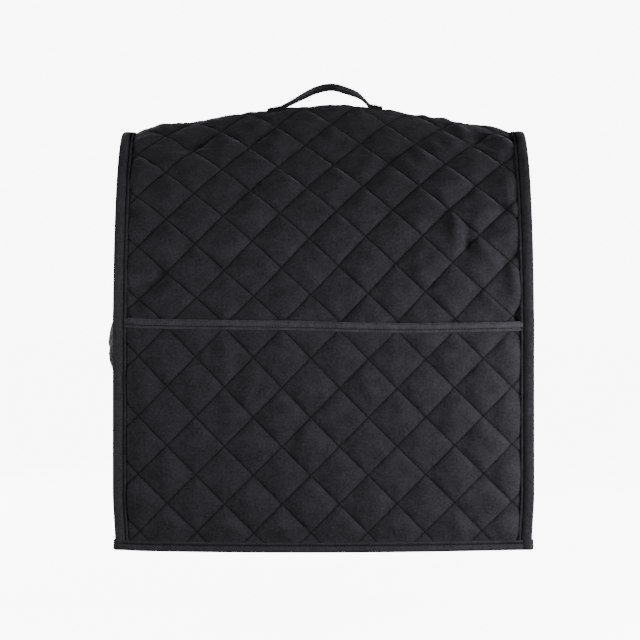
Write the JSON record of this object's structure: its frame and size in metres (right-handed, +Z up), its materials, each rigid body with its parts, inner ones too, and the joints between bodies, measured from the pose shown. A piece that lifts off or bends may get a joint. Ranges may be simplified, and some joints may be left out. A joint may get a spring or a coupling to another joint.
{
  "type": "quilted stand mixer cover",
  "caption": "Quilted cloth cover with an arched top, a full-width front pocket, taped edges and a strap handle, open below.",
  "frame": {"origin": "the point under the middle of the ridge, on the inner side of the cloth, where what the cover is put over holds it up", "axes": "+Z up, +X to the right seen from the front, and the front with its pocket faces -Y"},
  "size_m": [0.39, 0.2521, 0.4436],
  "materials": {
    "quilted_cloth": "matt quilted cotton, charcoal black, sewn in squares set on their corners",
    "binding_tape": "plain woven folded tape with one row of stitches, a little lighter than the cloth",
    "strap_cloth": "smooth flat cloth strap with stitched edges"
  },
  "bodies": {
    "root": {"body_panel": "quilted_cloth", "end_panel_left": "quilted_cloth", "end_panel_right": "quilted_cloth", "pocket_panel": "quilted_cloth", "pocket_binding": "binding_tape", "seam_binding_left": "binding_tape", "seam_binding_right": "binding_tape", "hem_binding": "binding_tape", "handle_strap": "strap_cloth"}
  },
  "joints": []
}
